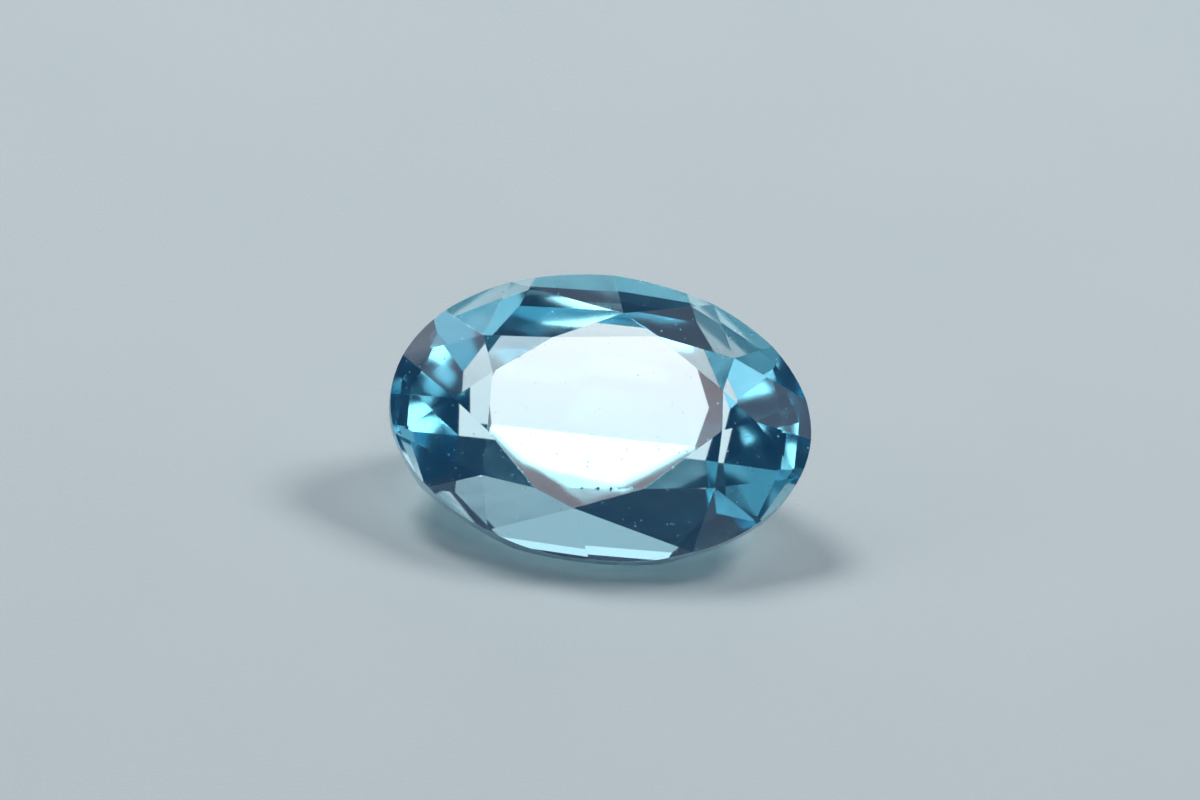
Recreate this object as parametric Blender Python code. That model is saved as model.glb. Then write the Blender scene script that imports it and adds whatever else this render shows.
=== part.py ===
# A cut topaz: an oval stone with a brilliant crown over a stepped pavilion that ends in a keel.
# It is one solid. It is cut the way a lapidary cuts it, one flat facet after another, from an
# oval blank, and then laid down on the long pavilion facet that it rests on.
# Lengths are metres and angles are degrees. The stone's own frame has u along the long axis,
# v along the short axis and w up through the table, with w = 0 at the middle of the girdle.

import math

import bmesh
import bpy
from mathutils import Matrix, Vector

MM = 0.001

# The oval outline
LENGTH = 18.0 * MM
WIDTH = 12.5 * MM
GIRDLE_THICKNESS = 0.7 * MM
GIRDLE_SIDES = 96

# The crown: a table with eight corners, a main facet at each corner and a star on each edge.
# The table sits a little off the middle and a little turned, as the cutter left it.
CROWN_HEIGHT = 1.75 * MM
TABLE_CORNERS = [Vector(corner) * MM for corner in (
    (4.9, 1.25), (1.95, 3.3), (-2.5, 2.75), (-4.9, 0.95),
    (-4.9, -1.6), (-2.7, -3.85), (1.9, -3.4), (5.0, -0.5))]
MAIN_TIP_NEAR_END = 16.0
MAIN_TIP_NEAR_SIDE = 61.0
STAR_REACH_END = 0.37
STAR_REACH_CORNER = 0.46
STAR_REACH_SIDE = 0.33

# The pavilion: three steps of facets, each step flatter than the one above it
STEP_ANGLES = (49.0, 46.0, 40.7)
STEP_REACH = (1.0, 0.80, 0.66, 0.0)
STEP_AZIMUTHS = ((0.0, 29.0, 62.0, 90.0), (0.0, 29.0, 62.0, 90.0), (0.0, 32.0, 90.0))
KEEL_HALF_LENGTH = 4.4 * MM

# Cutting
CUT_SNAP = 1e-8
WELD = 2e-6

TOPAZ_BLUE = (0.20, 0.56, 0.70, 1.0)


def clear_scene():
    """Empty the file, so that the script can be run again in the same session."""
    for old in list(bpy.data.objects):
        bpy.data.objects.remove(old, do_unlink=True)
    for old in list(bpy.data.collections):
        bpy.data.collections.remove(old)


def girdle_point(angle, height):
    """The point of the oval at an angle of its parameter, at a height in the stone's frame."""
    turn = math.radians(angle)
    return Vector((LENGTH / 2 * math.cos(turn), WIDTH / 2 * math.sin(turn), height))


def girdle_normal(angle):
    """The direction square to the oval at an angle of its parameter."""
    turn = math.radians(angle)
    return Vector((math.cos(turn) / LENGTH, math.sin(turn) / WIDTH, 0.0)).normalized()


def oval_reach(azimuth):
    """How far the oval reaches in a direction, measured square to the facet cut there."""
    turn = math.radians(azimuth)
    return math.hypot(LENGTH / 2 * math.cos(turn), WIDTH / 2 * math.sin(turn))


def all_round(near_end, near_side):
    """The eight angles around the stone that mirror one angle near an end and one near a side."""
    first = (near_end, near_side, 180 - near_side, 180 - near_end)
    return first + tuple(angle + 180 for angle in first)


def plane_through(first, second, third):
    """The plane through three points, as a point and a normal that faces away from the stone."""
    normal = (second - first).cross(third - first).normalized()
    if normal.dot(first) < 0:
        normal = -normal
    return first, normal


def meeting_point(*planes):
    """The point where three planes meet."""
    rows = Matrix([normal for point, normal in planes])
    reach = Vector([normal.dot(point) for point, normal in planes])
    return rows.inverted() @ reach


def table_corners():
    """The table's eight corners in order, lifted to the height of the table."""
    top = GIRDLE_THICKNESS / 2 + CROWN_HEIGHT
    return [Vector((corner.x, corner.y, top)) for corner in TABLE_CORNERS]


def main_facets(corners):
    """One kite facet at each table corner, running down to touch the girdle at its tip."""
    planes = []
    for corner, angle in zip(corners, all_round(MAIN_TIP_NEAR_END, MAIN_TIP_NEAR_SIDE)):
        tip = girdle_point(angle, GIRDLE_THICKNESS / 2)
        along = girdle_normal(angle).cross(Vector((0, 0, 1)))
        planes.append(plane_through(tip, tip + along, corner))
    return planes


def star_tip(first, second, mains, reach):
    """Where a star ends: on the ridge between two mains, part of the way from table to girdle."""
    middle = (first + second) / 2
    out = Vector(((second - first).y, -(second - first).x, 0)).normalized()
    if out.dot(middle) < 0:
        out = -out
    a, b = LENGTH / 2, WIDTH / 2
    square = (out.x / a) ** 2 + (out.y / b) ** 2
    linear = 2 * (middle.x * out.x / a ** 2 + middle.y * out.y / b ** 2)
    rest = (middle.x / a) ** 2 + (middle.y / b) ** 2 - 1
    band = (-linear + math.sqrt(linear ** 2 - 4 * square * rest)) / (2 * square)
    return meeting_point(*mains, (middle + out * band * reach, out))


def crown_facets():
    """Every plane of the crown: the table, the mains, the stars and the pairs by the girdle."""
    corners = table_corners()
    mains = main_facets(corners)
    tips = all_round(MAIN_TIP_NEAR_END, MAIN_TIP_NEAR_SIDE)
    reaches = (STAR_REACH_CORNER, STAR_REACH_SIDE, STAR_REACH_CORNER, STAR_REACH_END) * 2
    planes = [(corners[0], Vector((0, 0, 1)))] + mains
    for here in range(8):
        there = (here + 1) % 8
        pair = (mains[here], mains[there])
        apex = star_tip(corners[here], corners[there], pair, reaches[here])
        planes.append(plane_through(corners[here], corners[there], apex))
        start, stop = tips[here], tips[there] + (360 if there == 0 else 0)
        middle = girdle_point((start + stop) / 2, GIRDLE_THICKNESS / 2)
        for tip in (start, stop):
            planes.append(plane_through(apex, girdle_point(tip, GIRDLE_THICKNESS / 2), middle))
    return planes


def mirrored_round(quarter):
    """Every azimuth of a step, from those of one quarter, mirrored about both axes."""
    mirrored = set()
    for azimuth in quarter:
        mirrored.update(angle % 360 for angle in (azimuth, -azimuth, 180 - azimuth, 180 + azimuth))
    return sorted(mirrored)


def pavilion_facets():
    """The steps under the girdle, and the height of the keel that they lean in to."""
    planes = []
    height = -GIRDLE_THICKNESS / 2
    for step, quarter in enumerate(STEP_AZIMUTHS):
        outer, inner = STEP_REACH[step], STEP_REACH[step + 1]
        drop = WIDTH / 2 * (outer - inner) * math.tan(math.radians(STEP_ANGLES[step]))
        for azimuth in mirrored_round(quarter):
            turn = math.radians(azimuth)
            keel = KEEL_HALF_LENGTH * abs(math.cos(turn))
            run = (oval_reach(azimuth) - keel) * (outer - inner)
            reach = keel + (oval_reach(azimuth) - keel) * outer
            point = Vector((reach * math.cos(turn), reach * math.sin(turn), height))
            normal = Vector((math.cos(turn) * drop, math.sin(turn) * drop, -run)).normalized()
            planes.append((point, normal))
        height -= drop
    return planes, height


def oval_blank(lowest):
    """The preform: an upright oval cylinder that holds the whole stone."""
    top = GIRDLE_THICKNESS / 2 + CROWN_HEIGHT
    mesh = bmesh.new()
    bmesh.ops.create_cone(
        mesh, cap_ends=True, segments=GIRDLE_SIDES, radius1=1.0, radius2=1.0, depth=1.0)
    bmesh.ops.scale(mesh, vec=(LENGTH / 2, WIDTH / 2, 1.2 * (top - lowest)), verts=mesh.verts)
    bmesh.ops.translate(mesh, vec=(0, 0, (top + lowest) / 2), verts=mesh.verts)
    return mesh


def cut_facet(mesh, point, normal):
    """Grind one flat facet: take away what lies outside its plane and close the cut."""
    geometry = mesh.verts[:] + mesh.edges[:] + mesh.faces[:]
    cut = bmesh.ops.bisect_plane(
        mesh, geom=geometry, dist=CUT_SNAP, plane_co=point, plane_no=normal, clear_outer=True)
    rim = [item for item in cut["geom_cut"] if isinstance(item, bmesh.types.BMEdge)]
    open_rim = [edge for edge in rim if len(edge.link_faces) < 2]
    if len(open_rim) > 2:
        bmesh.ops.contextual_create(mesh, geom=open_rim)


def resting_turn():
    """The turn that brings the long side facet of the last step down flat."""
    return Matrix.Rotation(math.radians(STEP_ANGLES[-1]), 4, "X")


def build_topaz():
    """Cut the stone, lay it down on its facet and centre it over the origin."""
    pavilion, lowest = pavilion_facets()
    mesh = oval_blank(lowest)
    for point, normal in crown_facets() + pavilion:
        cut_facet(mesh, point, normal)
    bmesh.ops.remove_doubles(mesh, verts=mesh.verts[:], dist=WELD)
    bmesh.ops.dissolve_degenerate(mesh, dist=WELD, edges=mesh.edges[:])
    bmesh.ops.recalc_face_normals(mesh, faces=mesh.faces[:])
    mesh.transform(resting_turn())
    low = [min(vert.co[axis] for vert in mesh.verts) for axis in range(3)]
    high = [max(vert.co[axis] for vert in mesh.verts) for axis in range(3)]
    middle = Vector(((low[0] + high[0]) / 2, (low[1] + high[1]) / 2, low[2]))
    bmesh.ops.translate(mesh, vec=-middle, verts=mesh.verts)
    foot = [vert for vert in mesh.verts if vert.co.z < WELD]
    for vert in foot:
        vert.co.z = 0.0
    data = bpy.data.meshes.new("topaz")
    mesh.to_mesh(data)
    mesh.free()
    return bpy.data.objects.new("topaz", data)


def clear_blue():
    """The stone's material: clear pale blue with a glassy polish."""
    material = bpy.data.materials.new("clear blue topaz")
    material.use_nodes = True
    shader = material.node_tree.nodes["Principled BSDF"]
    shader.inputs["Base Color"].default_value = TOPAZ_BLUE
    shader.inputs["Roughness"].default_value = 0.03
    shader.inputs["Metallic"].default_value = 0.0
    shader.inputs["IOR"].default_value = 1.62
    shader.inputs["Transmission Weight"].default_value = 1.0
    material.diffuse_color = TOPAZ_BLUE
    return material


def main():
    clear_scene()
    collection = bpy.data.collections.new("cut topaz")
    bpy.context.scene.collection.children.link(collection)
    topaz = build_topaz()
    topaz.data.materials.append(clear_blue())
    collection.objects.link(topaz)
    size = ", ".join(f"{length * 1000:.2f}" for length in topaz.dimensions)
    print(f"topaz: {len(topaz.data.polygons)} facets, {size} mm")


main()
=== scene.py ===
# %% [markdown]
# # A clear blue topaz, lying on a pale sheet
# The real thing is one cut stone, 18 mm long. A lapidary ground flat facets on it one after another:
# a big table on top, a ring of kite and triangle facets around it, a thin girdle, and long stepped
# facets underneath that meet in a keel. The solid from the CAD step already has every facet in its
# place. This script gives the stone its worn edges, its small chips, its polish and its light.
# We start by loading that solid, which stays fixed, and by keeping the size of its box.

# %% Load the solid
import math
import random

import bmesh
import bpy
from mathutils import Matrix, Vector


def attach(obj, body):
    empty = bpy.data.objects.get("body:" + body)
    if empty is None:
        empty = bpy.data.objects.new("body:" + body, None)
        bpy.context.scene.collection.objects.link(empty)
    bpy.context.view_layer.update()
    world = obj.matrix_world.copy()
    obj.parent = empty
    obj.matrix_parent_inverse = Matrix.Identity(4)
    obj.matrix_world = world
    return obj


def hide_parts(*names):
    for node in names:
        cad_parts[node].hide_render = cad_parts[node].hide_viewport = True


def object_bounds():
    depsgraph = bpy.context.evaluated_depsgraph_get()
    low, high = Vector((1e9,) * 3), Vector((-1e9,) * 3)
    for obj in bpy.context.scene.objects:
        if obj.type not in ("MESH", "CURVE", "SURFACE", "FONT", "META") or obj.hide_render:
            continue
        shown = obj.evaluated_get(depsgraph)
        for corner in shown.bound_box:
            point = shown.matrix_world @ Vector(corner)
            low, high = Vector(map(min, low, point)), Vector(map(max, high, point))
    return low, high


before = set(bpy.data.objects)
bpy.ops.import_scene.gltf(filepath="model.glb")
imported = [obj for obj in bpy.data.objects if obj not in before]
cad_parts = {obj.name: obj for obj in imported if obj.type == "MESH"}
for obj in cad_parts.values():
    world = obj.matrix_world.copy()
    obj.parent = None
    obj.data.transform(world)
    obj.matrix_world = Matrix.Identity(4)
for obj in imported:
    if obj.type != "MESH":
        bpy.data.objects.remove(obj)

MM = 0.001
cad_low, cad_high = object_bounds()
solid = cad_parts["topaz"]
print("solid:", [round(length / MM, 2) for length in cad_high - cad_low], "mm")

# %% [markdown]
# ## Finding the facets again
# The file that carries the solid holds only triangles. A facet is a group of triangles in one plane,
# so we weld the corners and dissolve every edge that has no fold. That gives clean polygons again,
# and an edge between two of them is a real facet junction, which we can then work on. Each face also
# gets a number of its own, how rough it is, which starts as a good polish that has seen some use.

# %% Rebuild the facets
WELD = 0.001 * MM
FLAT = math.radians(0.15)
ROUGH = "ground_roughness"
POLISH_ROUGHNESS = 0.07


def faceted_mesh(source):
    """A mesh with one polygon for each facet of the source."""
    mesh = bmesh.new()
    mesh.from_mesh(source.data)
    bmesh.ops.remove_doubles(mesh, verts=mesh.verts[:], dist=WELD)
    bmesh.ops.dissolve_limit(mesh, angle_limit=FLAT, verts=mesh.verts[:], edges=mesh.edges[:])
    layer = mesh.faces.layers.float.new(ROUGH)
    for face in mesh.faces:
        face[layer] = POLISH_ROUGHNESS
    return mesh


mesh = faceted_mesh(solid)
rough = mesh.faces.layers.float[ROUGH]
print("facets:", len(mesh.faces))

# %% [markdown]
# ## The table and the girdle
# Two landmarks help the next steps. The table is the largest facet, and its normal is the stone's own
# axis. The girdle is the band of narrow faces that stand square to the table. A cutter leaves the
# girdle finely ground and doesn't polish it, so it gets a high roughness and a round shading. Along
# the table's rim we note each edge with the direction that points out of the stone there.

# %% Find the table and the girdle
ACROSS_AXIS = 0.02
GIRDLE_ROUGHNESS = 0.32


def rim_of(face):
    """The edges of a face as (start, end, way out), from the lowest edge to the highest."""
    rim = []
    for loop in face.loops:
        start, end = loop.vert.co.copy(), loop.link_loop_next.vert.co.copy()
        out = sum((side.normal for side in loop.edge.link_faces), Vector()).normalized()
        rim.append((start, end, out))
    return sorted(rim, key=lambda edge: edge[0].z + edge[1].z)


table = max(mesh.faces, key=lambda face: face.calc_area())
axis = table.normal.copy()
table_rim = rim_of(table)
girdle = [face for face in mesh.faces if abs(face.normal.dot(axis)) < ACROSS_AXIS]
for face in girdle:
    face[rough] = GIRDLE_ROUGHNESS
    face.smooth = True
print("table:", round(table.calc_area() / MM ** 2, 1), "square mm; girdle faces:", len(girdle))

# %% [markdown]
# ## Edges that catch the light
# No cut edge is perfectly sharp. Handling rounds it by a few hundredths of a millimetre, and that
# narrow strip draws a fine bright line around each facet. A bevel on every junction makes the strip,
# apart from the upright lines inside the girdle, which only stand for its round outline. The strips
# are the faces that no facet had before, so we tell them by their normals.

# %% Round the facet edges
EDGE_WIDTH = 0.03 * MM
EDGE_ROUGHNESS = 0.14
SAME_WAY = math.cos(math.radians(0.4))

facet_normals = [face.normal.copy() for face in mesh.faces]
in_girdle = set(girdle)
junctions = [edge for edge in mesh.edges if not in_girdle.issuperset(edge.link_faces)]
bmesh.ops.bevel(
    mesh, geom=junctions, offset=EDGE_WIDTH, offset_type="WIDTH", segments=1, profile=0.5,
    affect="EDGES", clamp_overlap=True)
mesh.normal_update()
strips = [face for face in mesh.faces if max(face.normal.dot(old) for old in facet_normals) < SAME_WAY]
for face in strips:
    face[rough] = EDGE_ROUGHNESS
    face.smooth = False
print("junctions:", len(junctions), "strips:", len(strips))


def new_object(name, mesh):
    """An object in the scene made from a bmesh, which is freed."""
    data = bpy.data.meshes.new(name)
    mesh.to_mesh(data)
    mesh.free()
    piece = bpy.data.objects.new(name, data)
    bpy.context.scene.collection.objects.link(piece)
    return piece


stone = new_object("cut_topaz", mesh)

# %% [markdown]
# ## Small chips
# The rim of the table is worn: tiny flakes have broken out of it, most of them along its two lowest
# edges. A flake leaves a shallow shell-shaped hollow. Each is cut with a small, slightly uneven ball
# whose centre hangs just outside the edge, and all the balls are one cutter for one Boolean. The
# random numbers have a fixed seed, so that every run breaks out the same flakes.

# %% Break out the chips
CHIP_ROUGHNESS = 0.22
CHIP_SIZES = (0.05 * MM, 0.16 * MM)
CHIP_LIFT = 0.55
CHIP_JITTER = 0.25
CHIPPED = ((0, 0.02, 0.98, 13), (1, 0.50, 1.00, 9), (2, 0.10, 0.90, 5), (5, 0.20, 0.80, 3))
CHIP_SEED = 11
chance = random.Random(CHIP_SEED)


def chip_cutter(rim, stretches):
    """Small uneven balls along stretches of a rim: (edge, from, to, how many)."""
    cutter = bmesh.new()
    layer = cutter.faces.layers.float.new(ROUGH)
    for edge, start, stop, count in stretches:
        first, last, out = rim[edge]
        if first.x > last.x:
            first, last = last, first
        for step in range(count):
            radius = CHIP_SIZES[0] + (CHIP_SIZES[1] - CHIP_SIZES[0]) * chance.random() ** 2
            middle = first.lerp(last, chance.uniform(start, stop)) + out * radius * CHIP_LIFT
            ball = bmesh.ops.create_icosphere(
                cutter, subdivisions=1, radius=radius, matrix=Matrix.Translation(middle))
            for vert in ball["verts"]:
                shift = [chance.uniform(-1, 1) for way in range(3)]
                vert.co += Vector(shift) * radius * CHIP_JITTER
    for face in cutter.faces:
        face[layer] = CHIP_ROUGHNESS
    return new_object("chip_cutter", cutter)


def cut_away(piece, cutter):
    """Take the cutter's shape out of the piece and remove the cutter."""
    cut = piece.modifiers.new("cut", "BOOLEAN")
    cut.operation = "DIFFERENCE"
    cut.solver = "EXACT"
    cut.use_self = True
    cut.object = cutter
    bpy.context.view_layer.update()
    shape = piece.evaluated_get(bpy.context.evaluated_depsgraph_get())
    result = bpy.data.meshes.new_from_object(shape)
    piece.modifiers.clear()
    piece.data = result
    bpy.data.objects.remove(cutter, do_unlink=True)


before = len(stone.data.polygons)
cut_away(stone, chip_cutter(table_rim, CHIPPED))
stone.data.materials.clear()
print("faces before and after the chips:", before, len(stone.data.polygons))

# %% [markdown]
# ## Wiring a material in few words
# Every surface here is made from procedural textures, which need no image and stay sharp close up. A
# material is a small network of nodes, and the same three moves come back in each: put a texture on
# the object's own coordinates, do one sum, and turn a height into a bump. Three helpers say them once.

# %% Helpers for materials
def texture(nodes, links, kind, coordinates, scale, **values):
    """A procedural texture node on the object's own coordinates."""
    node = nodes.new(kind)
    links.new(coordinates, node.inputs["Vector"])
    node.inputs["Scale"].default_value = scale
    for name, value in values.items():
        node.inputs[name].default_value = value
    return node


def arithmetic(nodes, links, operation, first, second):
    """A math node of two inputs, each a socket or a plain value."""
    node = nodes.new("ShaderNodeMath")
    node.operation = operation
    for socket, value in zip(node.inputs, (first, second)):
        if isinstance(value, bpy.types.NodeSocket):
            links.new(value, socket)
        else:
            socket.default_value = value
    return node.outputs[0]


def bump(nodes, links, height, distance, normal=None):
    """A bump node, which can be stacked on the normal of another."""
    node = nodes.new("ShaderNodeBump")
    node.inputs["Distance"].default_value = distance
    links.new(height, node.inputs["Height"])
    if normal is not None:
        links.new(normal, node.inputs["Normal"])
    return node.outputs["Normal"]


print("texture helpers ready")

# %% [markdown]
# ## Light clear blue topaz
# Topaz bends light more than window glass: its refractive index is 1.62. Its colour isn't on the
# surface. White light loses its red on the way through, so short paths look nearly white and long
# paths look deep blue. A plain white, fully transmissive surface with an absorbing volume inside
# does just that, and one material gives both the deep and the pale parts. A blue surface would not:
# it would look the same blue wherever the light came through.
#
# The surface has three small faults. The polish isn't perfectly flat, which a broad low bump makes,
# and it keeps fine polishing marks, a second, finer bump. Specks of dust lie on it, which are the
# middles of sparse Voronoi cells and only change the roughness. The roughness of the girdle, of the
# worn edges and of the chips comes in from the faces.

# %% The topaz material
TOPAZ_IOR = 1.62
ABSORPTION = 75.0
KEPT_COLOUR = (0.0, 0.80, 0.97, 1.0)
WAVE_LENGTH = 2.2 * MM
WAVE_HEIGHT = 0.006 * MM
MARK_LENGTH = 0.12 * MM
MARK_HEIGHT = 0.00012 * MM
DUST_SPACING = 0.55 * MM
DUST_SIZE = 0.07
DUST_ROUGHNESS = 0.55


def topaz_material():
    """Clear blue topaz: a polished transmissive surface around an absorbing volume."""
    material = bpy.data.materials.new("clear_blue_topaz")
    material.use_nodes = True
    nodes, links = material.node_tree.nodes, material.node_tree.links
    shader = nodes["Principled BSDF"]
    shader.inputs["Base Color"].default_value = (1, 1, 1, 1)
    shader.inputs["IOR"].default_value = TOPAZ_IOR
    shader.inputs["Transmission Weight"].default_value = 1.0
    place = nodes.new("ShaderNodeTexCoord").outputs["Object"]

    ground = nodes.new("ShaderNodeAttribute")
    ground.attribute_name = ROUGH
    cells = texture(nodes, links, "ShaderNodeTexVoronoi", place, 1 / DUST_SPACING)
    speck = arithmetic(nodes, links, "LESS_THAN", cells.outputs["Distance"], DUST_SIZE)
    dust = arithmetic(nodes, links, "MULTIPLY", speck, DUST_ROUGHNESS)
    links.new(
        arithmetic(nodes, links, "MAXIMUM", ground.outputs["Fac"], dust), shader.inputs["Roughness"])

    waves = texture(nodes, links, "ShaderNodeTexNoise", place, 1 / WAVE_LENGTH, Detail=1.0)
    marks = texture(nodes, links, "ShaderNodeTexNoise", place, 1 / MARK_LENGTH, Detail=2.0)
    wavy = bump(nodes, links, waves.outputs["Fac"], WAVE_HEIGHT)
    links.new(bump(nodes, links, marks.outputs["Fac"], MARK_HEIGHT, wavy), shader.inputs["Normal"])

    depth = nodes.new("ShaderNodeVolumeAbsorption")
    depth.inputs["Color"].default_value = KEPT_COLOUR
    depth.inputs["Density"].default_value = ABSORPTION
    links.new(depth.outputs["Volume"], nodes["Material Output"].inputs["Volume"])
    return material


stone.data.materials.append(topaz_material())
print("material:", stone.data.materials[0].name)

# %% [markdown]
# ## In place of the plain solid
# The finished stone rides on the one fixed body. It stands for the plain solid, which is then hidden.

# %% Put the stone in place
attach(stone, "root")
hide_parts("topaz")
print("stone faces:", len(stone.data.polygons))

# %% [markdown]
# ## The pale sheet
# The stone lies on a large matt sheet, so large that its edge is out of sight. It lies a hair below
# the resting facet, so that the two surfaces never share a plane. Paper is never quite even: a slow
# noise shifts its tone a little, and a fine one gives it tooth.

# %% The sheet
SHEET_GAP = 0.02 * MM
SHEET_SIZE = 1.6
SHEET_TONES = ((0.58, 0.665, 0.685, 1.0), (0.62, 0.70, 0.72, 1.0))
SHEET_CLOUDS = 14.0 * MM
SHEET_TOOTH = 0.18 * MM
SHEET_RELIEF = 0.02 * MM
SHEET_ROUGHNESS = 0.85


def sheet_material():
    """Matt pale paper with a little cloudiness and a fine tooth."""
    material = bpy.data.materials.new("pale_sheet")
    material.use_nodes = True
    nodes, links = material.node_tree.nodes, material.node_tree.links
    shader = nodes["Principled BSDF"]
    shader.inputs["Roughness"].default_value = SHEET_ROUGHNESS
    place = nodes.new("ShaderNodeTexCoord").outputs["Object"]
    clouds = texture(nodes, links, "ShaderNodeTexNoise", place, 1 / SHEET_CLOUDS, Detail=2.0)
    tone = nodes.new("ShaderNodeMix")
    tone.data_type = "RGBA"
    links.new(clouds.outputs["Fac"], tone.inputs["Factor"])
    tone.inputs["A"].default_value, tone.inputs["B"].default_value = SHEET_TONES
    links.new(tone.outputs["Result"], shader.inputs["Base Color"])
    tooth = texture(nodes, links, "ShaderNodeTexNoise", place, 1 / SHEET_TOOTH, Detail=3.0)
    links.new(bump(nodes, links, tooth.outputs["Fac"], SHEET_RELIEF), shader.inputs["Normal"])
    return material


def flat_square(name, size, height):
    """A flat square at a height."""
    square = bmesh.new()
    bmesh.ops.create_grid(square, x_segments=1, y_segments=1, size=size / 2)
    bmesh.ops.translate(square, vec=(0, 0, height), verts=square.verts)
    return new_object(name, square)


sheet = flat_square("sheet", SHEET_SIZE, -SHEET_GAP)
sheet.data.materials.append(sheet_material())
print("sheet:", SHEET_SIZE, "m square")

# %% [markdown]
# ## The camera
# The stone lies on its side facet, so the camera looks down on it to meet the table almost square.
# Close-up views of small things are taken with long lenses, which keep the perspective weak. The
# camera is placed on a sphere around the stone by two angles, then turned a little about its own
# line of sight, which makes the stone's long axis slope down to the right.

# %% The camera
LENS = 200.0
SENSOR = 36.0
VIEW_WIDTH = 51.0 * MM
CAMERA_HEIGHT_ANGLE = 34.1
CAMERA_LEFT_ANGLE = 5.5
CAMERA_ROLL = 9.4
AIM_ABOVE_MIDDLE = 0.95 * MM
NEAREST, FARTHEST = 0.01, 10


def direction(azimuth, elevation):
    """A unit vector: azimuth 0 is the front, where the table faces, and 90 is the right."""
    turn, rise = math.radians(azimuth), math.radians(elevation)
    return Vector((math.sin(turn) * math.cos(rise), -math.cos(turn) * math.cos(rise), math.sin(rise)))


def look_from(name, target, way, distance, roll):
    """A camera at a distance from the target, looking at it."""
    data = bpy.data.cameras.new(name)
    camera = bpy.data.objects.new(name, data)
    bpy.context.scene.collection.objects.link(camera)
    spin = Matrix.Rotation(math.radians(roll), 4, "Z")
    aim = (-way).to_track_quat("-Z", "Y").to_matrix().to_4x4()
    camera.matrix_world = Matrix.Translation(target + way * distance) @ aim @ spin
    return camera


middle = (cad_low + cad_high) / 2
distance = VIEW_WIDTH * LENS / SENSOR
camera = look_from(
    "camera", middle, direction(-CAMERA_LEFT_ANGLE, CAMERA_HEIGHT_ANGLE), distance, CAMERA_ROLL)
camera.location += camera.matrix_world.to_3x3() @ Vector((0, AIM_ABOVE_MIDDLE, 0))
camera.data.lens = LENS
camera.data.sensor_width = SENSOR
camera.data.clip_start, camera.data.clip_end = NEAREST, FARTHEST
bpy.context.scene.camera = camera
print("camera distance:", round(distance / MM), "mm")

# %% [markdown]
# ## Light for a cut stone
# A cut stone has no brightness of its own: each facet shows one small part of the room, seen through
# two or three reflections. So the light is arranged as a jeweller's photographer does it. One round
# lamp stands where the table mirrors it into the camera and lays a white sheen over the table. It is
# kept small, or it would whiten the crown too. Wide soft panels behind and beside the stone fill the
# crown. Two strong fills light the sheet. They stand where few facets show them to the camera, though
# a little of their light does reach the lower right of the crown. The rest of the room stays dim and
# blue, which leaves the deep parts deep. The brightness of a lamp is given as its radiance, so its
# power follows from its area.

# %% The lamps
LAMP_DISTANCE = 0.5


def panel(name, azimuth, elevation, width, height, radiance, colour=(1, 1, 1)):
    """A soft oval lamp facing the stone, sized by the degrees that it fills as seen from there."""
    light = bpy.data.lights.new(name, "AREA")
    light.shape = "ELLIPSE"
    light.size = 2 * LAMP_DISTANCE * math.tan(math.radians(width / 2))
    light.size_y = 2 * LAMP_DISTANCE * math.tan(math.radians(height / 2))
    light.energy = math.pi * radiance * math.pi / 4 * light.size * light.size_y
    light.color = colour
    lamp = bpy.data.objects.new(name, light)
    way = direction(azimuth, elevation)
    lamp.location = middle + way * LAMP_DISTANCE
    lamp.rotation_euler = way.to_track_quat("Z", "Y").to_euler()
    bpy.context.scene.collection.objects.link(lamp)


KEY_COLOUR = (1.0, 0.84, 0.78)

panel("key_lamp", 10, 64, 13, 13, 3.4, KEY_COLOUR)
panel("back_panel", 172, 50, 38, 26, 0.55)
panel("low_back_panel", 176, 28, 40, 14, 1.1)
panel("left_panel", -80, 24, 22, 22, 1.2)
panel("upper_left_panel", -108, 50, 20, 20, 2.0)
panel("right_panel", 100, 37, 22, 22, 0.8)
panel("front_lamp", -6, 31, 12, 12, 1.2)
panel("right_fill", 121, 50, 18, 18, 14.0)
panel("left_fill", -136, 57, 18, 18, 15.6)

# %% [markdown]
# ## The glow from below
# The pad of light lies in the sheet, under the back half of the stone and a little way behind it. It
# is switched off for the camera itself, so only what it does in the stone is seen. Rays that enter
# the upper half of the table leave the stone just there, so it is what makes the middle of the stone
# clear and bright. Its light is warm, because the stone takes the red out of it on the way up. The
# dim blue of the room is the world's own colour.

# %% The pad of light and the room
PAD_SIZE = (13.0 * MM, 7.0 * MM)
PAD_MIDDLE = (0.0, 5.6 * MM)
PAD_RADIANCE = 0.72
PAD_COLOUR = (1.0, 0.64, 0.57)
ROOM_COLOUR = (0.30, 0.55, 1.0, 1.0)
ROOM_STRENGTH = 0.08

pad_light = bpy.data.lights.new("pad_of_light", "AREA")
pad_light.shape = "RECTANGLE"
pad_light.size, pad_light.size_y = PAD_SIZE
pad_light.energy = math.pi * PAD_RADIANCE * PAD_SIZE[0] * PAD_SIZE[1]
pad_light.color = PAD_COLOUR
pad = bpy.data.objects.new("pad_of_light", pad_light)
pad.location = (*PAD_MIDDLE, -SHEET_GAP / 2)
pad.rotation_euler = (math.pi, 0, 0)
pad.visible_camera = False
bpy.context.scene.collection.objects.link(pad)

world = bpy.data.worlds.new("dim_room")
world.use_nodes = True
room = world.node_tree.nodes["Background"]
room.inputs["Color"].default_value = ROOM_COLOUR
room.inputs["Strength"].default_value = ROOM_STRENGTH
bpy.context.scene.world = world
print("pad:", [round(side / MM, 1) for side in PAD_SIZE], "mm")

# %% [markdown]
# ## Many bounces
# Light goes back and forth inside a cut stone many times before it leaves. Too few bounces would
# turn those paths black, so the limits are high. The standard view shows the colours as they are.

# %% Bounces and colour
BOUNCES = 32

scene = bpy.context.scene
scene.view_settings.view_transform = "Standard"
scene.cycles.max_bounces = BOUNCES
scene.cycles.transmission_bounces = BOUNCES
scene.cycles.glossy_bounces = BOUNCES
scene.cycles.use_denoising = True
print("bounces:", BOUNCES)
